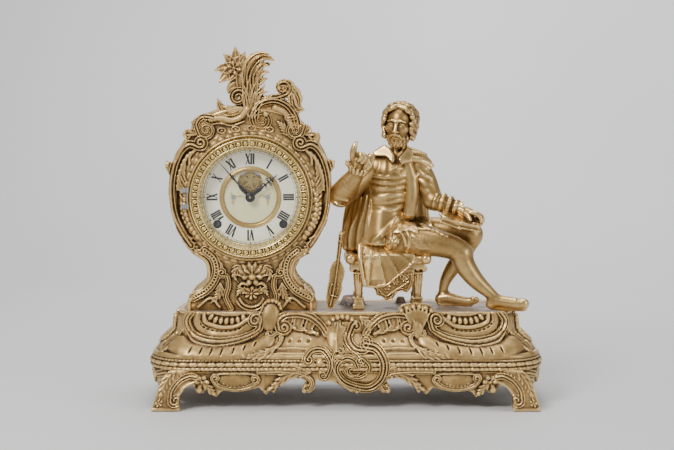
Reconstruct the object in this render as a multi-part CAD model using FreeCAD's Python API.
"""Figural mantel clock: hollow cast base, dial case with movement, and a seated figure on a stool.

Frame: millimetres, +Z up, the dial faces -Y, origin under the middle of the clock on the surface
it stands on. Every piece is one node, written to parts/NODE.step.
"""
import FreeCAD, Part
import math
import os

V = FreeCAD.Vector

# ---- Driving dimensions: base ----
BAND_HALF_LENGTH = 216.0   # beaded band, the widest moulding
BAND_HALF_DEPTH = 72.0
BAND_Z = 47.0
PLINTH_TOP = 104.5         # top plane that the case and the stool stand on
SKIRT_LOW = 19.0           # lowest edge of the apron
TOP_SET_IN = 31.0          # how much shorter and shallower than the band the top is, at each side
TOP_SET_BACK = 24.0
BASE_WALL = 4.0
FOOT_PAD = (15.0, 10.0)    # half length and half depth of a foot's pad
REAR_FOOT_OUT = 6.0        # how far the rear feet stand out past the band's ends
FRONT_FOOT_IN = 25.5       # from the band's ends to the middle of the front feet
FOOT_FORWARD = 14.0        # how far all four feet stand out past the band's front and rear

HALF_LENGTH = BAND_HALF_LENGTH + REAR_FOOT_OUT     # outside of the rear feet
HALF_DEPTH = BAND_HALF_DEPTH + FOOT_FORWARD        # outside of all four feet
TOP_HALF_LENGTH = BAND_HALF_LENGTH - TOP_SET_IN
TOP_HALF_DEPTH = BAND_HALF_DEPTH - TOP_SET_BACK
FRONT_FOOT_X = BAND_HALF_LENGTH - FRONT_FOOT_IN

# ---- Driving dimensions: dial case ----
DIAL_X = -106.5
DIAL_UP = 125.0            # dial's axis above the plinth's top
DIAL_Z = PLINTH_TOP + DIAL_UP
CASE_FRONT_Y = -38.0
CASE_REAR_Y = 44.0
CASE_WALL = 3.0
CASE_HALF_WIDTH = 88.0
CASE_FOOT_HALF_WIDTH = 69.0
NECK_HALF_WIDTH = 46.0
NECK_UP = 44.5             # narrowest place above the plinth's top
SHOULDER_UP = 96.5         # top of the case above the dial's axis
CREST_HEIGHT = 70.0
NECK_Z = PLINTH_TOP + NECK_UP
CASE_TOP_Z = DIAL_Z + SHOULDER_UP
DRUM_CLEARANCE = 2.0       # from the bezel's edge to the drum's bore
DRUM_WALL = 0.8
BACK_PLATE = 1.5
DOOR_R = 63.0
DOOR_THICK = 1.2

# ---- Driving dimensions: bezel and dial ----
BEZEL_R = 66.0
DRUM_BORE_R = BEZEL_R + DRUM_CLEARANCE
BEZEL_BORE_R = 56.0
BEZEL_FRONT_Y = -46.0
BEZEL_DEPTH = 5.5
GLASS_THICK = 1.6
SIGHT_R = 53.4
RING_BORE_R = 30.0
CENTRE_RING_R = 34.5
DIAL_Y = -24.0             # front of the chapter ring
ENAMEL = 1.2
PAN = 1.0
CENTRE_DISC_GAP = 0.2
WINDOW_R = 14.0            # opening that shows the escapement
WINDOW_UP = 16.0
WINDING_X = 36.5
WINDING_DOWN = 30.0
REGULATOR_UP = 55.8
MINUTE_HAND = 51.0
HOUR_HAND = 39.7
MINUTE_ANGLE = 318.8       # degrees clockwise from twelve
HOUR_ANGLE = 50.4
HINGE_PIN_R = 1.0
RUN = 0.05                 # radial clearance of every running fit

# ---- Driving dimensions: movement ----
PLATE_WIDTH = 100.0
PLATE_HEIGHT = 88.0
PLATE = 1.5
FRONT_PLATE_Y = -13.0      # front face of the front plate
BACK_PLATE_Y = 22.0        # front face of the back plate
ARBOR_R = 1.2
PIVOT_R = 0.7
GREAT_MODULE, GREAT_TEETH, SECOND_PINION = 0.5, 78, 28
SECOND_MODULE, SECOND_TEETH, CENTRE_PINION = 0.5, 72, 12
CENTRE_MODULE, CENTRE_TEETH, THIRD_PINION = 0.34, 90, 7
THIRD_MODULE, THIRD_TEETH, ESCAPE_PINION = 0.28, 98, 7
MOTION_MODULE, CANNON_TEETH, MINUTE_TEETH = 0.4, 12, 36
HOUR_PINION, HOUR_TEETH = 10, 40
ESCAPE_UP = 17.0
ESCAPE_R = 10.6
ESCAPE_TEETH = 30
PALLET_UP = 32.5
PENDULUM = 110.5           # pivot to the middle of the bob
BOB_R = 16.0
GONG_DOWN = 20.0
WIRE_R = 1.0

# ---- Driving dimensions: stool and figure ----
STOOL_X = 47.0
STOOL_Y = -2.0
SEAT_WIDTH = 84.0
SEAT_DEPTH = 64.0
SEAT_HEIGHT = 51.5         # top of the seat frame above the plinth's top
SEAT_Z = PLINTH_TOP + SEAT_HEIGHT
SEAT_FRAME = 9.0
CUSHION = 11.0
CUSHION_OVERHANG = 2.0
CUSHION_ROUND = 4.0
COAT_GAP = 0.3
COAT_THICK = 7.0
LEG_INSET = 9.0
LEG_R = 5.0
LEG_BLOCK = 8.0            # height of a leg's square foot
SEAT_TOP = SEAT_Z + CUSHION
SHANK = 62.5               # height of cushion that the figure's legs are modelled for
HEAD_SIZE = (21.0, 20.0, 25.0)

nodes = {}


# ---- Shape helpers ----
def box(x0, x1, y0, y1, z0, z1):
    return Part.makeBox(x1 - x0, y1 - y0, z1 - z0, V(x0, y0, z0))


def rod(x, z, r, y0, y1):
    """Cylinder along Y, placed from the middle of the dial."""
    return Part.makeCylinder(r, y1 - y0, V(DIAL_X + x, y0, DIAL_Z + z), V(0, 1, 0))


def tube(x, z, r, bore, y0, y1):
    return rod(x, z, r, y0, y1).cut(rod(x, z, bore, y0 - 1, y1 + 1))


def cone(x, z, r0, r1, y0, y1):
    return Part.makeCone(r0, r1, y1 - y0, V(DIAL_X + x, y0, DIAL_Z + z), V(0, 1, 0))


def post(x, y, r, z0, z1):
    return Part.makeCylinder(r, z1 - z0, V(x, y, z0))


def slab(points, y0, y1):
    """Closed polygon in X and Z, given its thickness along Y."""
    corners = [V(x, y0, z) for x, z in points]
    return Part.Face(Part.makePolygon(corners + corners[:1])).extrude(V(0, y1 - y0, 0))


def smooth_slab(points, y0, y1, corners=()):
    """Closed outline in X and Z of smooth curves that meet at the numbered corners."""
    spots = [V(x, y0, z) for x, z in points]
    if not corners:
        curve = Part.BSplineCurve()
        curve.interpolate(Points=spots, PeriodicFlag=True)
        edges = [curve.toShape()]
    else:
        edges = []
        for start, end in zip(corners, list(corners[1:]) + [corners[0] + len(spots)]):
            run = [spots[k % len(spots)] for k in range(start, end + 1)]
            if len(run) == 2:
                edges.append(Part.makeLine(run[0], run[1]))
            else:
                curve = Part.BSplineCurve()
                curve.interpolate(Points=run)
                edges.append(curve.toShape())
    return Part.Face(Part.Wire(edges)).extrude(V(0, y1 - y0, 0))


def fused(*shapes):
    whole = shapes[0]
    for shape in shapes[1:]:
        whole = whole.fuse(shape)
    return whole.removeSplitter()


def group(shapes):
    return Part.makeCompound(list(shapes))


def limb(*joints):
    """Rounded limb through points with radii: a ball at each point and a cone between each two."""
    parts = []
    for x, y, z, r in joints:
        parts.append(Part.makeSphere(r, V(x, y, z)))
    for (xa, ya, za, ra), (xb, yb, zb, rb) in zip(joints, joints[1:]):
        start, along = V(xa, ya, za), V(xb - xa, yb - ya, zb - za)
        gap = along.Length
        tilt = (ra - rb) / gap
        side = math.sqrt(1 - tilt * tilt)
        along.normalize()
        foot = start + along * (ra * tilt)
        length = gap - ra * tilt + rb * tilt
        if abs(ra - rb) < 1e-6:
            parts.append(Part.makeCylinder(ra, gap, start, along))
        else:
            parts.append(Part.makeCone(ra * side, rb * side, length, foot, along))
    return fused(*parts)


def oval_wire(x, y, z, rx, ry):
    if rx >= ry:
        return Part.Wire(Part.Ellipse(V(x + rx, y, z), V(x, y + ry, z), V(x, y, z)).toShape())
    return Part.Wire(Part.Ellipse(V(x, y + ry, z), V(x - rx, y, z), V(x, y, z)).toShape())


def stack(*ovals):
    """Solid through level ovals, each x, y, z, half width, half depth."""
    return Part.makeLoft([oval_wire(*oval) for oval in ovals], True, False)


def ellipsoid(centre, rx, ry, rz):
    ball = Part.makeSphere(1.0)
    matrix = FreeCAD.Matrix(rx, 0, 0, centre.x, 0, ry, 0, centre.y, 0, 0, rz, centre.z)
    return ball.transformGeometry(matrix)


def rounded_plan(half_x, half_y, radius, z, y_mid):
    """Level rounded rectangle as one closed wire."""
    x0, x1, y0, y1 = -half_x, half_x, y_mid - half_y, y_mid + half_y
    turn = radius * (1 - math.sqrt(0.5))
    spots = [((x0 + radius, y0), (x1 - radius, y0)), ((x1, y0 + radius), (x1, y1 - radius)),
             ((x1 - radius, y1), (x0 + radius, y1)), ((x0, y1 - radius), (x0, y0 + radius))]
    mids = [(x1 - turn, y0 + turn), (x1 - turn, y1 - turn), (x0 + turn, y1 - turn), (x0 + turn, y0 + turn)]
    edges = []
    for k in range(4):
        (ax, ay), (bx, by) = spots[k]
        cx, cy = spots[(k + 1) % 4][0]
        mx, my = mids[k]
        edges.append(Part.makeLine(V(ax, ay, z), V(bx, by, z)))
        edges.append(Part.Arc(V(bx, by, z), V(mx, my, z), V(cx, cy, z)).toShape())
    return Part.Wire(edges)


def spiral_edges(x, z, y, r, pitch, turns, shift=0.0):
    """Half circles that wind outwards by one pitch each turn, about an arbor at x, z."""
    edges = []
    centre, side, radius = x, 1, r
    for _ in range(2 * turns):
        a = V(DIAL_X + centre - side * (radius + shift), y, DIAL_Z + z)
        b = V(DIAL_X + centre, y, DIAL_Z + z + side * (radius + shift))
        c = V(DIAL_X + centre + side * (radius + shift), y, DIAL_Z + z)
        edges.append(Part.Arc(a, b, c).toShape())
        centre -= side * pitch / 2
        radius += pitch / 2
        side = -side
    return edges


# ---- Gears ----
def gear(x, z, teeth, module, y0, y1, first_tooth, bore=0.0, arms=0):
    """Wheel along Y. Its first tooth points at first_tooth, in degrees from +X towards +Z."""
    r = module * teeth / 2
    tip, root = r + 0.6 * module, r - 0.85 * module
    pitch = 2 * math.pi / teeth
    start = math.radians(first_tooth)
    points = []
    for k in range(teeth):
        middle = start + k * pitch
        for radius, turn in ((root, -0.27), (tip, -0.12), (tip, 0.12), (root, 0.27)):
            angle = middle + turn * pitch
            points.append((DIAL_X + x + radius * math.cos(angle), DIAL_Z + z + radius * math.sin(angle)))
    wheel = slab(points, y0, y1)
    if arms:
        wheel = wheel.cut(crossing(x, z, root * 0.3, root - 1.6, arms, y0, y1))
    if bore:
        wheel = wheel.cut(rod(x, z, bore, y0 - 1, y1 + 1))
    return wheel


def crossing(x, z, r_in, r_out, arms, y0, y1):
    """The openings between a wheel's arms."""
    ring = tube(x, z, r_out, r_in, y0 - 0.5, y1 + 0.5)
    spokes = []
    for k in range(arms):
        spoke = Part.makeBox(r_out + 2, y1 - y0 + 2, 2.0, V(0, y0 - 1, -1.0))
        spoke.rotate(V(0, 0, 0), V(0, 1, 0), 360.0 * k / arms)
        spoke.translate(V(DIAL_X + x, 0, DIAL_Z + z))
        spokes.append(spoke)
    return ring.cut(fused(*spokes))


def bearing(a, b):
    """Direction from place a to place b, in degrees from +X towards +Z."""
    return math.degrees(math.atan2(b[1] - a[1], b[0] - a[0]))


def gap_towards(a, b, teeth):
    """First-tooth direction that puts a gap of the gear at a towards b."""
    return bearing(a, b) + 180.0 / teeth


def meeting(a, b, ra, rb, side):
    """Place at ra from a and rb from b, on one side of the line between them."""
    dx, dz = b[0] - a[0], b[1] - a[1]
    d = math.hypot(dx, dz)
    along = (ra * ra - rb * rb + d * d) / (2 * d)
    off = side * math.sqrt(max(ra * ra - along * along, 0.0))
    return (a[0] + (dx * along - dz * off) / d, a[1] + (dz * along + dx * off) / d)


def centres(module, a, b):
    return module * (a + b) / 2


# ---- Base ----
BASE_MID_Y = -2.0
BASE_LEVELS = [  # height, half length, half depth, corner radius
    (SKIRT_LOW, BAND_HALF_LENGTH - 5, BAND_HALF_DEPTH - 4, 44.0),
    (BAND_Z - 6, BAND_HALF_LENGTH - 1, BAND_HALF_DEPTH - 0.5, 46.0),
    (BAND_Z + 4, BAND_HALF_LENGTH, BAND_HALF_DEPTH, 46.0),
    (BAND_Z + 11, BAND_HALF_LENGTH - 3, BAND_HALF_DEPTH - 3, 45.0),
    (BAND_Z + 19, BAND_HALF_LENGTH - 9, BAND_HALF_DEPTH - 9, 42.0),
    (PLINTH_TOP - 29, TOP_HALF_LENGTH + 10, TOP_HALF_DEPTH + 7, 36.0),
    (PLINTH_TOP - 22, TOP_HALF_LENGTH + 5, TOP_HALF_DEPTH + 3, 32.0),
    (PLINTH_TOP - 9, TOP_HALF_LENGTH + 4, TOP_HALF_DEPTH + 2, 32.0),
    (PLINTH_TOP, TOP_HALF_LENGTH, TOP_HALF_DEPTH, 30.0),
]


def base_solid(inset, top):
    wires = []
    for z, a, b, r in BASE_LEVELS:
        wires.append(rounded_plan(a - inset, b - inset, r - inset, min(z, top), BASE_MID_Y))
    return Part.makeLoft(wires, True, True)


def base_casting():
    outer = base_solid(0.0, PLINTH_TOP)
    inner_levels = []
    for z, a, b, r in BASE_LEVELS:
        level = PLINTH_TOP - BASE_WALL if z == PLINTH_TOP else z
        level = SKIRT_LOW - 1 if z == SKIRT_LOW else level
        inset = BASE_WALL
        inner_levels.append(rounded_plan(a - inset, b - inset, r - inset, level, BASE_MID_Y))
    shell = outer.cut(Part.makeLoft(inner_levels, True, True))
    arches = []
    for x, half in ((-62.0, 30.0), (62.0, 30.0), (150.0, 22.0), (-150.0, 22.0), (0.0, 20.0)):
        arch = Part.makeCylinder(1.0, 2 * HALF_DEPTH, V(0, -HALF_DEPTH, 0), V(0, 1, 0))
        stretch = FreeCAD.Matrix(half, 0, 0, x, 0, 1, 0, 0, 0, 0, 11.0, SKIRT_LOW - 1)
        arches.append(arch.transformGeometry(stretch))
    side = Part.makeCylinder(1.0, 2 * HALF_LENGTH, V(-HALF_LENGTH, 0, 0), V(1, 0, 0))
    stretch = FreeCAD.Matrix(1, 0, 0, 0, 0, 40.0, 0, BASE_MID_Y, 0, 0, 12.0, SKIRT_LOW - 1)
    arches.append(side.transformGeometry(stretch))
    shell = shell.cut(fused(*arches))
    for x, y in CASE_SCREWS + FIGURE_SCREWS:
        shell = shell.cut(post(x, y, SCREW_R + RUN, PLINTH_TOP - BASE_WALL - 1, PLINTH_TOP + 1))
    return shell


SCREW_R = 2.0
CASE_SCREWS = [(DIAL_X - 48.0, 5.0), (DIAL_X + 48.0, 5.0)]
FIGURE_SCREWS = [(STOOL_X + sx * (SEAT_WIDTH / 2 - LEG_INSET), STOOL_Y + sy * (SEAT_DEPTH / 2 - LEG_INSET))
                 for sx in (-1, 1) for sy in (-1, 1)]


def screw(x, y, seat):
    """Screw from below with its head under the plinth's top plate."""
    under = PLINTH_TOP - BASE_WALL
    return fused(post(x, y, SCREW_R, under, PLINTH_TOP + seat), post(x, y, 4.0, under - 3.0, under))


def foot(x, y, side_x, side_y, base):
    """Scroll foot: flat pad, waisted shank and a knee that meets the underside of the base."""
    px, py = FOOT_PAD
    pad = Part.Face(oval_wire(x, y, 0.0, px, py)).extrude(V(0, 0, 6.0))
    shank = stack((x, y, 6.0, px - 1, py - 1),
                  (x - 2 * side_x, y - 4 * side_y, SKIRT_LOW - 5, px - 4, py - 1),
                  (x - 3 * side_x, y - 9 * side_y, SKIRT_LOW + 7, px - 3, py + 1),
                  (x - 5 * side_x, y - 15 * side_y, BAND_Z - 4, px + 2, py + 5))
    return fused(pad, shank).cut(base)


FOOT_Y = HALF_DEPTH - FOOT_PAD[1]
REAR_FOOT_X = HALF_LENGTH - FOOT_PAD[0]
FOOT_PLACES = [(side * x, end * FOOT_Y, side, end)
               for side in (-1, 1) for x, end in ((FRONT_FOOT_X, -1), (REAR_FOOT_X, 1))]


def centre_rocaille(base_block):
    outline = [(-52, 24), (-30, 17.5), (12, 17.5), (30, 24), (44, 30), (40, 52), (28, 62), (20, 84),
               (8, 94), (-22, 90), (-36, 70), (-50, 56), (-56, 40)]
    block = smooth_slab(outline, -HALF_DEPTH + 3, -BAND_HALF_DEPTH + 14)
    window = stack_y(2.0, 46.0, 13.0, 9.0, -HALF_DEPTH, -BAND_HALF_DEPTH + 20)
    return block.cut(window).cut(base_block)


def stack_y(x, z, rx, rz, y0, y1):
    """Oval bar along Y, in the clock's own axes."""
    bar = Part.makeCylinder(1.0, y1 - y0, V(0, y0, 0), V(0, 1, 0))
    return bar.transformGeometry(FreeCAD.Matrix(rx, 0, 0, x, 0, 1, 0, 0, 0, 0, rz, z))


base_block = base_solid(0.0, PLINTH_TOP)
nodes["base_casting"] = base_casting()
nodes["feet"] = group(foot(*place, base_block) for place in FOOT_PLACES)
nodes["centre_rocaille"] = centre_rocaille(base_block)


# ---- Dial case ----
def case_outline(inset):
    """Half outlines measured from the dial's axis, joined into one closed list with the corners' numbers."""
    w, neck = CASE_HALF_WIDTH - inset, NECK_HALF_WIDTH - inset
    foot_z = PLINTH_TOP + inset
    flare = CASE_FOOT_HALF_WIDTH - inset
    right = [(flare, foot_z), (flare - 3, PLINTH_TOP + 17.5), (neck + 4, NECK_Z - 15), (neck, NECK_Z),
             (neck + 6, NECK_Z + 12), (neck + 21, NECK_Z + 23), (w - 12, DIAL_Z - 39.5),
             (w - 3, DIAL_Z - 21.5), (w, DIAL_Z + 10), (w - 1, DIAL_Z + 32.5), (w - 14, DIAL_Z + 58.5),
             (w - 28, DIAL_Z + 74.5), (w - 42, CASE_TOP_Z - 12), (24, CASE_TOP_Z - inset)]
    left = [(-x, z) for x, z in reversed(right)]
    points = [(DIAL_X + x, z) for x, z in right + left]
    return points, (0, 13, 14, 27)


CASE_POINTS, CASE_CORNERS = case_outline(0.0)
HOLLOW_POINTS, HOLLOW_CORNERS = case_outline(CASE_WALL)


def case_front():
    solid = smooth_slab(CASE_POINTS, CASE_FRONT_Y, CASE_REAR_Y, CASE_CORNERS)
    hollow = smooth_slab(HOLLOW_POINTS, CASE_FRONT_Y + CASE_WALL, CASE_REAR_Y + 1, HOLLOW_CORNERS)
    shell = solid.cut(hollow).cut(rod(0, 0, DRUM_BORE_R + DRUM_WALL, CASE_FRONT_Y - 1, CASE_REAR_Y))
    for x, y in CASE_SCREWS:
        shell = shell.cut(post(x, y, SCREW_R + RUN, PLINTH_TOP - 1, PLINTH_TOP + CASE_WALL + 1))
    return shell


def case_drum():
    """Sheet sleeve that the movement and dial slide into, open at the bottom for the pendulum."""
    sleeve = tube(0, 0, DRUM_BORE_R + DRUM_WALL, DRUM_BORE_R, CASE_FRONT_Y, CASE_REAR_Y)
    slot = box(DIAL_X - 28, DIAL_X + 28, 20, CASE_REAR_Y + 1, DIAL_Z - DRUM_BORE_R - 5, DIAL_Z - 40)
    return sleeve.cut(slot)


def case_back_plate():
    sheet = smooth_slab(CASE_POINTS, CASE_REAR_Y, CASE_REAR_Y + BACK_PLATE, CASE_CORNERS)
    return sheet.cut(rod(0, 0, DOOR_R - 3, CASE_REAR_Y - 1, CASE_REAR_Y + BACK_PLATE + 1))


CREST_MODEL = 70.0         # height that the crest's outline is drawn for
CREST_OUTLINE = [(44.5, -16), (63.5, -8), (60.5, 4), (42.5, 20), (30.5, 18), (22.5, 32), (28.5, 46),
                 (30.5, 55), (8.5, 60), (-7.5, 60), (-15.2, 70), (-25.5, 58), (-32.5, 48), (-25.5, 36), (-15.5, 24),
                 (-29.5, 18), (-32.5, 7), (-45.5, -2), (-41.5, -16)]
CREST_Y = (CASE_FRONT_Y + 6, CASE_FRONT_Y + 20)


def case_crest():
    """Flower, curled leaf and scrolls that rise off the shoulders as one openwork plate."""
    rise = CREST_HEIGHT / CREST_MODEL
    outline = [(DIAL_X + x, CASE_TOP_Z + (up * rise if up > 0 else up)) for x, up in CREST_OUTLINE]
    return slab(outline, *CREST_Y)


case_block = smooth_slab(CASE_POINTS, CASE_FRONT_Y, CASE_REAR_Y, CASE_CORNERS)
nodes["case_front"] = case_front()
nodes["case_drum"] = case_drum()
nodes["case_back_plate"] = case_back_plate()
nodes["case_crest"] = case_crest().cut(case_block)
nodes["fixing_screws"] = group([screw(x, y, CASE_WALL + 2) for x, y in CASE_SCREWS]
                               + [screw(x, y, 12.0) for x, y in FIGURE_SCREWS])

# ---- Rear door ----
KNUCKLE_R = 1.9
DOOR_Y = CASE_REAR_Y + BACK_PLATE + 0.3
DOOR_HINGE = (DIAL_X - DOOR_R - 2.5, DOOR_Y + KNUCKLE_R)


def knuckles(x, y, z_mid, half, leaf):
    """Moving knuckle of a hinge with its leaf, and the two fixed knuckles with their pin."""
    moving = post(x, y, KNUCKLE_R, z_mid - half, z_mid + half)
    fixed = [post(x, y, HINGE_PIN_R, z_mid - half - 6, z_mid + half + 6)]
    for side in (-1, 1):
        low = z_mid + side * (half + 0.3 + 2.5) - 2.5
        fixed.append(post(x, y, KNUCKLE_R, low, low + 5.0))
    return fused(moving, leaf).cut(post(x, y, HINGE_PIN_R + RUN, z_mid - 20, z_mid + 20)), fixed


def rear_door():
    sheet = rod(0, 0, DOOR_R, DOOR_Y, DOOR_Y + DOOR_THICK)
    x, y = DOOR_HINGE
    leaf = box(x, x + 12, DOOR_Y, DOOR_Y + DOOR_THICK, DIAL_Z - 8, DIAL_Z + 8)
    return knuckles(x, y, DIAL_Z, 8.0, fused(sheet, leaf))


door, door_fixed = rear_door()
x, y = DOOR_HINGE
door_leaf = [box(x - 9, x, CASE_REAR_Y + BACK_PLATE, DOOR_Y + 1.0, low, low + 5.0)
             for low in (DIAL_Z - 13.3, DIAL_Z + 8.3)]
knob = fused(rod(DOOR_R - 9, 0, 2.0, DOOR_Y + DOOR_THICK, DOOR_Y + DOOR_THICK + 3),
             rod(DOOR_R - 9, 0, 4.0, DOOR_Y + DOOR_THICK + 3, DOOR_Y + DOOR_THICK + 6))
nodes["rear_door"] = fused(door, knob)
door_bracket = fused(*(door_fixed + door_leaf)).cut(nodes["case_back_plate"])

# ---- Bezel ----
BEZEL_REAR_Y = BEZEL_FRONT_Y + BEZEL_DEPTH
BEZEL_HINGE = (DIAL_X - BEZEL_R - KNUCKLE_R - 0.5, BEZEL_REAR_Y - KNUCKLE_R)
GLASS_Y = BEZEL_REAR_Y - GLASS_THICK


def bezel_ring():
    ring = cone(0, 0, BEZEL_R - 3, BEZEL_R, BEZEL_FRONT_Y, BEZEL_FRONT_Y + 2)
    ring = fused(ring, rod(0, 0, BEZEL_R, BEZEL_FRONT_Y + 2, BEZEL_REAR_Y))
    ring = ring.cut(cone(0, 0, BEZEL_BORE_R + 1, BEZEL_BORE_R - 1.5, BEZEL_FRONT_Y - 0.01, GLASS_Y))
    ring = ring.cut(rod(0, 0, BEZEL_BORE_R, GLASS_Y, BEZEL_REAR_Y + 1))
    x, y = BEZEL_HINGE
    leaf = box(x, x + 6, y - 1.2, y + 0.6, DIAL_Z - 6, DIAL_Z + 6)
    inside = rod(0, 0, BEZEL_R - 1, BEZEL_FRONT_Y - 1, BEZEL_REAR_Y + 1)
    return knuckles(x, y, DIAL_Z, 6.0, fused(ring, leaf.cut(inside)))


ring, ring_fixed = bezel_ring()
x, y = BEZEL_HINGE
ring_leaf = [box(x - 7, x + 1, y, CASE_FRONT_Y, low, low + 5.0) for low in (DIAL_Z - 11.3, DIAL_Z + 6.3)]
catch = fused(rod(BEZEL_R + 2, 0, 1.6, BEZEL_FRONT_Y + 1, BEZEL_REAR_Y - 0.3),
              box(DIAL_X + BEZEL_R - 2, DIAL_X + BEZEL_R + 2, BEZEL_FRONT_Y + 2.5, BEZEL_REAR_Y - 0.5,
                  DIAL_Z - 1.2, DIAL_Z + 1.2))
nodes["bezel_ring"] = fused(ring, catch)
nodes["bezel_glass"] = rod(0, 0, BEZEL_BORE_R - RUN, GLASS_Y, BEZEL_REAR_Y)
nodes["hinge_brackets"] = group([fused(*(ring_fixed + ring_leaf)).cut(case_block), door_bracket])

# ---- Dial ----
PAN_Y = DIAL_Y + ENAMEL
SUNK_Y = PAN_Y + PAN + CENTRE_DISC_GAP


def dial_holes(depth_front, depth_back):
    holes = [rod(side * WINDING_X, -WINDING_DOWN, 4.2, depth_front, depth_back) for side in (-1, 1)]
    holes.append(rod(0, REGULATOR_UP, 3.0, depth_front, depth_back))
    return fused(*holes)


holes = dial_holes(DIAL_Y - 2, PAN_Y + PAN + 0.5)
pan = tube(0, 0, DRUM_BORE_R - 0.1, RING_BORE_R - 1, PAN_Y, PAN_Y + PAN)
DIAL_FEET = [(-33.0, 22.0), (33.0, 22.0), (0.0, -38.0)]
pan_feet = [rod(x, z, 2.0, PAN_Y + PAN, FRONT_PLATE_Y) for x, z in DIAL_FEET]
nodes["dial_pan"] = fused(pan, *pan_feet).cut(holes)
nodes["dial_chapter_ring"] = tube(0, 0, SIGHT_R, RING_BORE_R + 1, DIAL_Y, PAN_Y).cut(holes)
sight_cone = cone(0, 0, BEZEL_BORE_R + 2, SIGHT_R + 1.2, CASE_FRONT_Y + 1, DIAL_Y)
sight_bore = cone(0, 0, BEZEL_BORE_R + 1, SIGHT_R + 0.1, CASE_FRONT_Y + 0.9, DIAL_Y + 0.01)
flange = tube(0, 0, DRUM_BORE_R - 0.1, SIGHT_R + 0.1, DIAL_Y, PAN_Y)
nodes["dial_sight_ring"] = fused(flange, sight_cone.cut(sight_bore)).cut(dial_holes(CASE_FRONT_Y, PAN_Y + 1))
disc = tube(0, 0, CENTRE_RING_R, 3.4, SUNK_Y, SUNK_Y + 0.8)
nodes["dial_centre_disc"] = disc.cut(rod(0, WINDOW_UP, WINDOW_R, SUNK_Y - 1, SUNK_Y + 2))
nodes["dial_centre_ring"] = tube(0, 0, CENTRE_RING_R, RING_BORE_R, DIAL_Y - 1.6, DIAL_Y)
nodes["dial_screws"] = group(fused(rod(side * 19.0, 0, 2.6, SUNK_Y - 1.4, SUNK_Y),
                                   rod(side * 19.0, 0, 1.2, SUNK_Y, SUNK_Y + 0.8)) for side in (-1, 1))
nodes["dial_centre_disc"] = nodes["dial_centre_disc"].cut(rod(-19, 0, 1.2, SUNK_Y - 1, SUNK_Y + 2))
nodes["dial_centre_disc"] = nodes["dial_centre_disc"].cut(rod(19, 0, 1.2, SUNK_Y - 1, SUNK_Y + 2))

# ---- Movement: places of the arbors, from the middle of the dial ----
CENTRE = (0.0, 0.0)
ESCAPE = (0.0, ESCAPE_UP)
PALLET = (0.0, PALLET_UP)
T_GREAT = (WINDING_X, -WINDING_DOWN)
S_GREAT = (-WINDING_X, -WINDING_DOWN)
T_SECOND = meeting(CENTRE, T_GREAT, centres(SECOND_MODULE, SECOND_TEETH, CENTRE_PINION),
                   centres(GREAT_MODULE, GREAT_TEETH, SECOND_PINION), 1)
S_SECOND = (-T_SECOND[0], T_SECOND[1])
T_THIRD = meeting(CENTRE, ESCAPE, centres(CENTRE_MODULE, CENTRE_TEETH, THIRD_PINION),
                  centres(THIRD_MODULE, THIRD_TEETH, ESCAPE_PINION), -1)
MINUTE_STUD = (-centres(MOTION_MODULE, CANNON_TEETH, MINUTE_TEETH), 0.0)
HAMMER = (-34.0, 30.0)
FRONT_IN = FRONT_PLATE_Y + PLATE
BACK_OUT = BACK_PLATE_Y + PLATE
SMALL_PIVOTS = [T_SECOND, T_THIRD, S_SECOND, HAMMER]


def arbor(place, y0=None, y1=None, r=ARBOR_R):
    """Arbor with a thinner pivot in each plate."""
    x, z = place
    body = rod(x, z, r, FRONT_IN + 0.3, BACK_PLATE_Y - 0.3)
    pivots = rod(x, z, PIVOT_R, FRONT_PLATE_Y if y0 is None else y0, BACK_OUT if y1 is None else y1)
    return fused(body, pivots)


T_GREAT_Y = (12.0, 14.0)
T_SECOND_Y = (17.0, 18.2)
S_SECOND_Y = (19.4, 20.6)
CENTRE_Y = (6.0, 7.2)
THIRD_Y = (-4.0, -3.0)
SPRING_Y = (-9.0, 10.0)
WINDING_R = 2.4
ESCAPE_Y = (SUNK_Y + 2.0, SUNK_Y + 3.0)
BRIDGE_Y = (SUNK_Y + 4.0, SUNK_Y + 5.0)
PENDULUM_Y = 31.0


def movement_plate(y0, front):
    w, up, down, clip = PLATE_WIDTH / 2, PLATE_HEIGHT / 2 - 2, PLATE_HEIGHT / 2 + 2, 10.0
    outline = [(-w + clip, -down), (w - clip, -down), (w, -down + clip), (w, up - clip), (w - clip, up),
               (-w + clip, up), (-w, up - clip), (-w, -down + clip)]
    plate = slab([(DIAL_X + x, DIAL_Z + z) for x, z in outline], y0, y0 + PLATE)
    through = [ESCAPE, PALLET, CENTRE] if front else [PALLET, CENTRE]
    small = SMALL_PIVOTS if front else SMALL_PIVOTS + [ESCAPE]
    for x, z in through:
        plate = plate.cut(rod(x, z, ARBOR_R + RUN, y0 - 1, y0 + PLATE + 1))
    for x, z in small:
        plate = plate.cut(rod(x, z, PIVOT_R + RUN, y0 - 1, y0 + PLATE + 1))
    for x, z in (T_GREAT, S_GREAT):
        plate = plate.cut(rod(x, z, WINDING_R + RUN, y0 - 1, y0 + PLATE + 1))
    return plate


PILLARS = [(-42.0, 34.0), (42.0, 34.0), (-9.0, -41.0), (9.0, -41.0)]


def movement_pillars():
    pillars = []
    for x, z in PILLARS:
        pillars.append(rod(x, z, 3.0, FRONT_IN, BACK_PLATE_Y))
        pillars.append(rod(x, z, 2.4, BACK_OUT, BACK_OUT + 1.6))
    return group(pillars)


def ratchet(x, z, teeth, tip, root, y0, y1, lean):
    """Wheel of pointed teeth that all lean the same way."""
    pitch = 2 * math.pi / teeth
    points = []
    for k in range(teeth):
        for radius, turn in ((root, 0.0), (tip, lean - 0.06), (tip, lean + 0.06), (root, 0.5)):
            angle = (k + turn) * pitch
            points.append((DIAL_X + x + radius * math.cos(angle), DIAL_Z + z + radius * math.sin(angle)))
    return slab(points, y0, y1)


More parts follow.
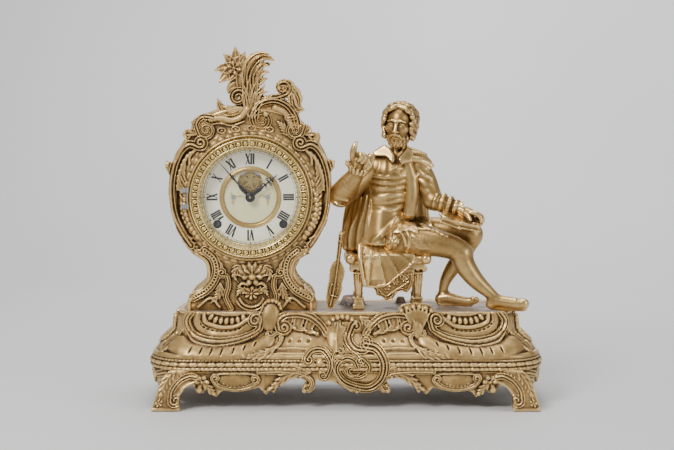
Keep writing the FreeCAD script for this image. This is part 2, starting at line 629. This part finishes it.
def great_wheel(place, partner):
    """Great wheel that turns on the winding arbor and carries the click of its ratchet."""
    x, z = place
    wheel = gear(x, z, GREAT_TEETH, GREAT_MODULE, *T_GREAT_Y, bearing(place, partner), WINDING_R + RUN)
    y = T_GREAT_Y[1]
    click = box(DIAL_X + x - 1.5, DIAL_X + x + 1.5, y, y + 1.6, DIAL_Z + z + RATCHET_R + 0.3,
                DIAL_Z + z + RATCHET_R + 5.0)
    stud = rod(x, z + RATCHET_R + 5.0, 2.0, y, y + 1.6)
    return fused(wheel, click, stud)


RATCHET_R = 6.4
SQUARE = 3.2


def winding_arbor(place, lean):
    x, z = place
    half = SQUARE / 2
    parts = [rod(x, z, WINDING_R, FRONT_PLATE_Y - 1, BACK_OUT), rod(x, z, 4.0, *SPRING_Y),
             box(DIAL_X + x - half, DIAL_X + x + half, DIAL_Y + 0.5, FRONT_PLATE_Y - 1, DIAL_Z + z - half,
                 DIAL_Z + z + half),
             ratchet(x, z, 16, RATCHET_R, RATCHET_R - 1.4, T_GREAT_Y[1] + 0.3, T_GREAT_Y[1] + 1.5, lean)]
    return fused(*parts)


def mainspring(place):
    """Open coil of flat strip between the winding arbor and the pillars."""
    x, z = place
    strip, turns, pitch, r = 0.6, 5, 2.8, 5.0
    y0, y1 = SPRING_Y
    inner = spiral_edges(x, z, y0, r, pitch, turns)
    outer = spiral_edges(x, z, y0, r, pitch, turns, strip)
    ends = [Part.makeLine(inner[0].Vertexes[0].Point, outer[0].Vertexes[0].Point),
            Part.makeLine(inner[-1].Vertexes[-1].Point, outer[-1].Vertexes[-1].Point)]
    outline = Part.Wire(Part.__sortEdges__(inner + outer + ends))
    return Part.Face(outline).extrude(V(0, y1 - y0, 0))


def second_wheel(place, great, wheel_y):
    wheel = gear(*place, SECOND_TEETH, SECOND_MODULE, *wheel_y, bearing(place, CENTRE), 0, 4)
    pinion = gear(*place, SECOND_PINION, GREAT_MODULE, T_GREAT_Y[0] - 0.5, T_GREAT_Y[1] + 0.5,
                  gap_towards(place, great, SECOND_PINION))
    return fused(arbor(place), wheel, pinion)


def centre_wheel():
    shaft = rod(*CENTRE, ARBOR_R, NUT_Y - 0.4, BACK_OUT)
    wheel = gear(*CENTRE, CENTRE_TEETH, CENTRE_MODULE, *CENTRE_Y, bearing(CENTRE, T_THIRD), 0, 4)
    pinion = gear(*CENTRE, CENTRE_PINION, SECOND_MODULE, T_SECOND_Y[0] - 0.5, T_SECOND_Y[1] + 0.5,
                  gap_towards(CENTRE, T_SECOND, CENTRE_PINION))
    return fused(shaft, wheel, pinion)


def third_wheel():
    wheel = gear(*T_THIRD, THIRD_TEETH, THIRD_MODULE, *THIRD_Y, bearing(T_THIRD, ESCAPE), 0, 4)
    pinion = gear(*T_THIRD, THIRD_PINION, CENTRE_MODULE, CENTRE_Y[0] - 0.5, CENTRE_Y[1] + 0.5,
                  gap_towards(T_THIRD, CENTRE, THIRD_PINION))
    return fused(arbor(T_THIRD, r=0.75), wheel, pinion)


def escape_wheel():
    shaft = fused(rod(*ESCAPE, ARBOR_R, ESCAPE_Y[0] - 0.8, THIRD_Y[0] - 2),
                  rod(*ESCAPE, 0.62, THIRD_Y[0] - 2, BACK_OUT))
    wheel = ratchet(*ESCAPE, ESCAPE_TEETH, ESCAPE_R, ESCAPE_R - 1.7, *ESCAPE_Y, 0.12)
    wheel = wheel.cut(crossing(*ESCAPE, 3.0, ESCAPE_R - 2.7, 5, *ESCAPE_Y))
    pinion = gear(*ESCAPE, ESCAPE_PINION, THIRD_MODULE, THIRD_Y[0] - 0.5, THIRD_Y[1] + 0.5,
                  gap_towards(ESCAPE, T_THIRD, ESCAPE_PINION))
    return fused(shaft, wheel, pinion)


PIN_R = 0.55
PIN_OUT = ESCAPE_R + PIN_R + 0.8   # keeps the pallet pins off the teeth through the whole swing


def pallets():
    """Anchor with two pallet pins, its arbor, and the crutch that drives the pendulum."""
    px, pz = PALLET
    y0, y1 = ESCAPE_Y
    reach = PIN_OUT * math.sqrt(0.5)
    parts = [rod(px, pz, ARBOR_R, y0 - 0.8, CRUTCH_Y[1]), rod(px, pz, 2.6, y0, y1)]
    for side in (-1, 1):
        tip = (side * reach, ESCAPE_UP + reach)
        parts.append(rod(*tip, 1.3, y0 - 0.8, y0))
        parts.append(rod(*tip, PIN_R, y0, y1 + 0.6))
        bar = [(px - 1.1 * side, pz - 1.5), (px + 1.1 * side, pz + 1.5), (tip[0] + 1.2 * side, tip[1] + 0.4),
               (tip[0] - 0.4 * side, tip[1] - 1.2)]
        parts.append(slab([(DIAL_X + a, DIAL_Z + b) for a, b in bar], y0 - 0.8, y0))
    y0, y1 = CRUTCH_Y
    parts.append(rod(px, pz, 2.6, y0, y1))
    fork_z = DIAL_Z + FORK_UP
    parts.append(box(DIAL_X - 1.5, DIAL_X + 1.5, y0, y1, fork_z, DIAL_Z + pz))
    for side in (-1, 1):
        a, b = sorted((side * (ROD_R + 0.2), side * (ROD_R + 1.4)))
        parts.append(box(DIAL_X + a, DIAL_X + b, y0, PENDULUM_Y + 2.5, fork_z, fork_z + 2.5))
    parts.append(box(DIAL_X - ROD_R - 1.4, DIAL_X + ROD_R + 1.4, y0, y1, fork_z, fork_z + 2.5))
    return fused(*parts)


CRUTCH_Y = (BACK_OUT + 2.2, BACK_OUT + 3.6)
FORK_UP = 6.0
ROD_R = 1.0


def escapement_bridge():
    y0, y1 = BRIDGE_Y
    across = box(DIAL_X - 18, DIAL_X + 18, y0, y1, DIAL_Z + 17.5, DIAL_Z + 21.5)
    upright = box(DIAL_X - 2.6, DIAL_X + 2.6, y0, y1, DIAL_Z + 14, DIAL_Z + 35.5)
    posts = [rod(side * 16.0, 19.5, 1.8, y1, FRONT_PLATE_Y) for side in (-1, 1)]
    frame = fused(across, upright, *posts)
    for x, z in (ESCAPE, PALLET):
        frame = frame.cut(rod(x, z, ARBOR_R + RUN, y0 - 1, y1 + 1))
    return frame


def pendulum_rod():
    top = PALLET_UP - 0.5
    low = PALLET_UP - PENDULUM - BOB_R - 5
    stem = post(DIAL_X, PENDULUM_Y, ROD_R, DIAL_Z + low, DIAL_Z + top - 3)
    hook = box(DIAL_X - 1.5, DIAL_X + 1.5, PENDULUM_Y - 3, PENDULUM_Y + 3, DIAL_Z + top - 4, DIAL_Z + top)
    nut = post(DIAL_X, PENDULUM_Y, 3.0, DIAL_Z + low + 1.0, DIAL_Z + low + 3.0)
    return fused(stem, hook, nut)


def pendulum_bob():
    z = PALLET_UP - PENDULUM
    lens = fused(cone(0, z, BOB_R - 5, BOB_R, PENDULUM_Y - 4, PENDULUM_Y - 1.5),
                 rod(0, z, BOB_R, PENDULUM_Y - 1.5, PENDULUM_Y + 1.5),
                 cone(0, z, BOB_R, BOB_R - 5, PENDULUM_Y + 1.5, PENDULUM_Y + 4))
    return lens.cut(post(DIAL_X, PENDULUM_Y, ROD_R, DIAL_Z + z - BOB_R - 1, DIAL_Z + z + BOB_R + 1))


# ---- Suspension and its regulator ----
SCREW_Y = PENDULUM_Y + 6.0
COCK_Z = (46.0, 50.0)
CHOPS_Z = (38.0, 42.0)
REGULATOR_PINION = 2.3
CHOPS_SLOT = 0.5
STRIP = 0.2


def suspension_cock():
    """Bracket on the back plate with the flat suspension spring clamped in it."""
    upright = box(DIAL_X - 6, DIAL_X + 6, BACK_OUT, BACK_OUT + 2, DIAL_Z + 36, DIAL_Z + REGULATOR_UP + 4)
    low, high = DIAL_Z + COCK_Z[0], DIAL_Z + COCK_Z[1]
    block = box(DIAL_X - 4, DIAL_X + 4, BACK_OUT + 2, SCREW_Y + 3, low, high)
    frame = fused(upright, block).cut(post(DIAL_X, SCREW_Y, LIFT_R + RUN, low - 1, high + 2))
    frame = frame.cut(rod(0, REGULATOR_UP, LIFT_R + RUN, BACK_OUT - 1, BACK_OUT + 3))
    strip = box(DIAL_X - STRIP / 2, DIAL_X + STRIP / 2, PENDULUM_Y - 2.5, PENDULUM_Y + 2.5,
                DIAL_Z + PALLET_UP + 0.2, low + 1)
    return fused(frame, strip)


LIFT_R = 1.5


def suspension_chops():
    low, high = DIAL_Z + CHOPS_Z[0], DIAL_Z + CHOPS_Z[1]
    block = box(DIAL_X - 4, DIAL_X + 4, PENDULUM_Y - 3.5, SCREW_Y + 3, low, high)
    slot = box(DIAL_X - CHOPS_SLOT / 2, DIAL_X + CHOPS_SLOT / 2, PENDULUM_Y - 4, PENDULUM_Y + 3,
               low - 1, high + 1)
    hole = post(DIAL_X, SCREW_Y, LIFT_R + RUN, low - 1, high + 1)
    return block.cut(slot).cut(hole)


CROWN_TOP = REGULATOR_UP - REGULATOR_PINION - 0.3


def regulator_screw():
    shaft = post(DIAL_X, SCREW_Y, LIFT_R, DIAL_Z + CHOPS_Z[0] - 3, DIAL_Z + CROWN_TOP - 1)
    collar = post(DIAL_X, SCREW_Y, LIFT_R + 1, DIAL_Z + COCK_Z[1] + 0.1, DIAL_Z + CROWN_TOP - 1)
    crown = post(DIAL_X, SCREW_Y, REGULATOR_PINION + 0.8, DIAL_Z + CROWN_TOP - 1, DIAL_Z + CROWN_TOP)
    return fused(shaft, collar, crown)


def regulator_arbor():
    y = SCREW_Y - REGULATOR_PINION
    half = 1.0
    shaft = rod(0, REGULATOR_UP, LIFT_R, DIAL_Y - 1, y + 0.5)
    end = box(DIAL_X - half, DIAL_X + half, DIAL_Y - 4, DIAL_Y - 1, DIAL_Z + REGULATOR_UP - half,
              DIAL_Z + REGULATOR_UP + half)
    return fused(shaft, end, rod(0, REGULATOR_UP, REGULATOR_PINION, y - 0.5, y + 0.5))


# ---- Motion work and hands ----
MINUTE_Y = (FRONT_PLATE_Y - 1.5, FRONT_PLATE_Y - 0.4)
HOUR_Y = (FRONT_PLATE_Y - 3.6, FRONT_PLATE_Y - 2.6)
HOUR_HAND_Y = (DIAL_Y - 3.2, DIAL_Y - 2.4)
MINUTE_HAND_Y = (DIAL_Y - 5.2, DIAL_Y - 4.4)
NUT_Y = DIAL_Y - 7.2
CANNON_R = 2.0
HOUR_PIPE_R = 3.0
HOUR_MODULE = 2 * centres(MOTION_MODULE, CANNON_TEETH, MINUTE_TEETH) / (HOUR_PINION + HOUR_TEETH)


def cannon_pinion():
    pinion = gear(*CENTRE, CANNON_TEETH, MOTION_MODULE, MINUTE_Y[0] - 0.1, MINUTE_Y[1] + 0.1,
                  gap_towards(CENTRE, MINUTE_STUD, CANNON_TEETH))
    pipe = rod(*CENTRE, CANNON_R, MINUTE_HAND_Y[0], MINUTE_Y[0])
    return fused(pinion, pipe).cut(rod(*CENTRE, ARBOR_R + RUN, NUT_Y - 1, FRONT_PLATE_Y))


def minute_wheel():
    wheel = gear(*MINUTE_STUD, MINUTE_TEETH, MOTION_MODULE, *MINUTE_Y, bearing(MINUTE_STUD, CENTRE), 0, 3)
    pinion = gear(*MINUTE_STUD, HOUR_PINION, HOUR_MODULE, HOUR_Y[0] - 0.1, MINUTE_Y[0],
                  gap_towards(MINUTE_STUD, CENTRE, HOUR_PINION))
    return fused(wheel, pinion).cut(rod(*MINUTE_STUD, 1.0 + RUN, HOUR_Y[0] - 1, FRONT_PLATE_Y))


def hour_wheel():
    wheel = gear(*CENTRE, HOUR_TEETH, HOUR_MODULE, *HOUR_Y, bearing(CENTRE, MINUTE_STUD))
    pipe = rod(*CENTRE, HOUR_PIPE_R, HOUR_HAND_Y[0] - 0.4, HOUR_Y[0])
    return fused(wheel, pipe).cut(rod(*CENTRE, CANNON_R + RUN, NUT_Y, FRONT_PLATE_Y))


def hand(outline, angle, y_span, boss, bore, rings):
    """Flat hand drawn pointing up, turned clockwise to its angle."""
    y0, y1 = y_span
    shape = fused(slab([(DIAL_X + x, DIAL_Z + z) for x, z in outline], y0, y1), rod(0, 0, boss, y0, y1),
                  *[rod(x, z, r, y0, y1) for x, z, r in rings])
    shape = shape.cut(rod(0, 0, bore, y0 - 1, y1 + 1))
    shape.rotate(V(DIAL_X, 0, DIAL_Z), V(0, 1, 0), angle)
    return shape


HAND_NECK = 3.0            # length of the tapered tip
TREFOIL_Z = HOUR_HAND - 10.0
TREFOIL = [(-2.6, TREFOIL_Z, 1.7), (2.6, TREFOIL_Z, 1.7), (0, TREFOIL_Z + 2.8, 1.9), (0, TREFOIL_Z - 2.4, 1.5)]
MINUTE_BLADE = [(-1.5, 0), (-1.0, 9), (-0.75, MINUTE_HAND - HAND_NECK), (0, MINUTE_HAND),
                (0.75, MINUTE_HAND - HAND_NECK), (1.0, 9), (1.5, 0), (0.9, -12), (-0.9, -12)]
HOUR_BLADE = [(-1.7, 0), (-1.1, 9), (-0.9, HOUR_HAND - HAND_NECK), (0, HOUR_HAND),
              (0.9, HOUR_HAND - HAND_NECK), (1.1, 9), (1.7, 0)]
MINUTE_BOSS, HOUR_BOSS, NUT_R = 3.4, 4.2, 3.2
nodes["minute_hand"] = hand(MINUTE_BLADE, MINUTE_ANGLE, MINUTE_HAND_Y, MINUTE_BOSS, CANNON_R, [])
nodes["hour_hand"] = hand(HOUR_BLADE, HOUR_ANGLE, HOUR_HAND_Y, HOUR_BOSS, HOUR_PIPE_R, TREFOIL)
nodes["hand_nut"] = tube(0, 0, NUT_R, ARBOR_R + RUN, NUT_Y, MINUTE_HAND_Y[0])
nodes["cannon_pinion"] = cannon_pinion()
nodes["minute_wheel"] = minute_wheel()
nodes["hour_wheel"] = hour_wheel()

nodes["movement_front_plate"] = fused(movement_plate(FRONT_PLATE_Y, True),
                                      rod(*MINUTE_STUD, 1.0, HOUR_Y[0] - 0.5, FRONT_PLATE_Y))
nodes["movement_back_plate"] = movement_plate(BACK_PLATE_Y, False)
nodes["movement_pillars"] = movement_pillars()
nodes["time_great_wheel"] = great_wheel(T_GREAT, T_SECOND)
nodes["strike_great_wheel"] = great_wheel(S_GREAT, S_SECOND)
nodes["time_winding_arbor"] = winding_arbor(T_GREAT, 0.1)
nodes["strike_winding_arbor"] = winding_arbor(S_GREAT, 0.1)
nodes["time_mainspring"] = mainspring(T_GREAT)
nodes["strike_mainspring"] = mainspring(S_GREAT)
nodes["second_wheel"] = second_wheel(T_SECOND, T_GREAT, T_SECOND_Y)
nodes["strike_second_wheel"] = second_wheel(S_SECOND, S_GREAT, S_SECOND_Y)
nodes["centre_wheel"] = centre_wheel()
nodes["third_wheel"] = third_wheel()
nodes["escape_wheel"] = escape_wheel()
nodes["pallets"] = pallets()
nodes["escapement_bridge"] = escapement_bridge()
nodes["pendulum_rod"] = pendulum_rod()
nodes["pendulum_bob"] = pendulum_bob()
nodes["suspension_cock"] = suspension_cock()
nodes["suspension_chops"] = suspension_chops()
nodes["regulator_screw"] = regulator_screw()
nodes["regulator_arbor"] = regulator_arbor()

# ---- Strike: hammer and gong ----
GONG_Y = 37.0
GONG = (0.0, -GONG_DOWN)
GONG_BOSS = 5.6


def gong_stand():
    y = GONG_Y + 4.0
    stem = post(DIAL_X, y, 2.9, PLINTH_TOP + CASE_WALL, DIAL_Z - GONG_DOWN)
    return fused(stem, rod(*GONG, GONG_BOSS, GONG_Y - 1, y + 2.5))


def gong_coil():
    edges = spiral_edges(*GONG, GONG_Y, GONG_BOSS + 0.6, 5.6, 5)
    path = Part.Wire(edges)
    start = edges[0].Vertexes[0].Point
    section = Part.Wire(Part.Circle(start, V(0, 0, 1), WIRE_R).toShape())
    return path.makePipeShell([section], True, True).cut(gong_stand())


def hammer():
    x, z = HAMMER
    y0, y1 = BACK_OUT + 1.0, BACK_OUT + 2.4
    head = (-42.5, -6.0)
    bar = [(x - 1.5, z), (x + 1.5, z), (head[0] + 1.3, head[1]), (head[0] - 1.3, head[1])]
    shank = slab([(DIAL_X + a, DIAL_Z + b) for a, b in bar], y0, y1)
    return fused(arbor(HAMMER, y1=y1), rod(x, z, 2.4, y0, y1), shank,
                 rod(*head, 1.6, y0, GONG_Y - 4), rod(*head, 4.0, GONG_Y - 4, GONG_Y + 4))


nodes["gong_stand"] = gong_stand()
nodes["gong_coil"] = gong_coil()
nodes["strike_hammer"] = hammer()

# ---- Stool ----
def stool_frame():
    x0, x1 = STOOL_X - SEAT_WIDTH / 2, STOOL_X + SEAT_WIDTH / 2
    y0, y1 = STOOL_Y - SEAT_DEPTH / 2, STOOL_Y + SEAT_DEPTH / 2
    parts = [box(x0, x1, y0, y1, SEAT_Z - SEAT_FRAME, SEAT_Z)]
    for x, y in FIGURE_SCREWS:
        taper = Part.makeCone(LEG_R - 1.0, LEG_R + 1.5, SEAT_HEIGHT - SEAT_FRAME - LEG_BLOCK,
                              V(x, y, PLINTH_TOP + LEG_BLOCK))
        parts += [taper, post(x, y, LEG_R + 1.5, PLINTH_TOP, PLINTH_TOP + LEG_BLOCK)]
    frame = fused(*parts)
    for x, y in FIGURE_SCREWS:
        frame = frame.cut(post(x, y, SCREW_R, PLINTH_TOP - 1, PLINTH_TOP + 12))
    return frame


def stool_cushion():
    a, b = SEAT_WIDTH / 2 + CUSHION_OVERHANG, SEAT_DEPTH / 2 + CUSHION_OVERHANG
    pad = box(STOOL_X - a, STOOL_X + a, STOOL_Y - b, STOOL_Y + b, SEAT_Z, SEAT_TOP)
    return pad.makeFillet(CUSHION_ROUND, pad.Edges)


# ---- Figure, seated on the cushion ----
def posed(x, y, z, *size):
    """A point of the figure from the middle of the cushion's top; legs below it follow the seat's height."""
    drop = z * (SEAT_TOP - PLINTH_TOP) / SHANK if z < 0 else z
    return (STOOL_X + x, STOOL_Y + y, SEAT_TOP + drop) + size


TORSO = [(-1, 0, 1, 34, 28), (1, -1, 23, 27, 22), (3, -2, 45, 22, 17), (10, -2, 73, 27, 18), (13, -2, 95, 30, 16),
         (14, -2, 107, 22, 12), (14, -3, 117, 8.5, 8.5), (14, -3, 121, 8.0, 8.0)]
HEAD_PLACE = (12.9, -6, 142.5)
RIGHT_ARM = [(-11, -4, 96, 11), (-49, -22, 65, 11.5), (-33, -36, 95, 7.0), (-37, -38, 113, 6.5),
             (-36, -39, 121, 3.0)]
LEFT_ARM = [(40, 0, 95, 11), (56, -4, 59, 10), (77, -20, 50, 8.5), (96, -24, 44, 5.0)]
NEAR_LEG = [(15, -20, 15, 18), (57, -28, 10, 15.5), (90, -32, 0, 13.5), (109, -35, -24, 10.5), (129, -38, -46, 5.8),
            (147, -42, -53, 5.5)]
FAR_LEG = [(19, 14, 17, 16), (61, 8, 19, 14.5), (92, 2, 17, 12.5), (80, 2, -17, 9.5), (65, 0, -45, 6.0),
           (83, -6, -53, 5.0), (99, -10, -56.5, 4.5)]
COAT_OUTLINE = [(-37, 3), (-21, 41), (7, 39), (17, 11), (19, -5), (9, -21), (-7, -33), (-25, -34), (-33, -17)]
BOOK_PLACE = (83, -29, 39)
BOOK_HALF = (16, 10, 2.5)
BOOK_SLOPE, BOOK_TILT = 16.0, 22.0
INSTRUMENT = [(-51, -38, 23, 2.6), (-55, -38, -1, 3.0), (-59, -38, -29, 7.5), (-64, -38, -51, 3.5),
              (-66, -38, -58, 2.8)]


def torso():
    return stack(*(posed(*level) for level in TORSO))


def head():
    return ellipsoid(V(*posed(*HEAD_PLACE)), *HEAD_SIZE)


def posed_limb(points):
    return limb(*(posed(*point) for point in points))


def figure_coat():
    """The coat's skirt, hung just clear of the cushion's front."""
    front = STOOL_Y - SEAT_DEPTH / 2 - CUSHION_OVERHANG - COAT_GAP
    outline = [posed(x, 0, z)[::2] for x, z in COAT_OUTLINE]
    return smooth_slab(outline, front - COAT_THICK, front, (0, 7))


def book():
    a, b, c = BOOK_HALF
    leaf = box(-a, a, -b, b, -c, c)
    leaf.rotate(V(0, 0, 0), V(0, 1, 0), BOOK_SLOPE)
    leaf.rotate(V(0, 0, 0), V(1, 0, 0), BOOK_TILT)
    leaf.translate(V(*posed(*BOOK_PLACE)))
    return leaf


def fit_to(shape, others):
    for other in others:
        shape = shape.cut(other)
    return shape


nodes["stool_frame"] = stool_frame()
nodes["stool_cushion"] = stool_cushion()
FITTED = [("figure_torso", torso()), ("figure_head", head()), ("figure_coat", figure_coat()),
          ("figure_right_arm", posed_limb(RIGHT_ARM)), ("figure_left_arm", posed_limb(LEFT_ARM)),
          ("figure_near_leg", posed_limb(NEAR_LEG)), ("figure_far_leg", posed_limb(FAR_LEG)),
          ("figure_book", book()), ("leaning_instrument", posed_limb(INSTRUMENT))]
settled = [nodes["stool_cushion"], nodes["stool_frame"], base_block]
for name, shape in FITTED:
    shape = fit_to(shape, settled)
    nodes[name] = max(shape.Solids, key=lambda piece: piece.Volume)
    settled = settled + [nodes[name]]

os.makedirs("parts", exist_ok=True)
for name, shape in nodes.items():
    shape.exportStep("parts/%s.step" % name)
    print(name, len(shape.Solids), shape.isValid(), round(shape.Volume))
print(len(nodes), "nodes")
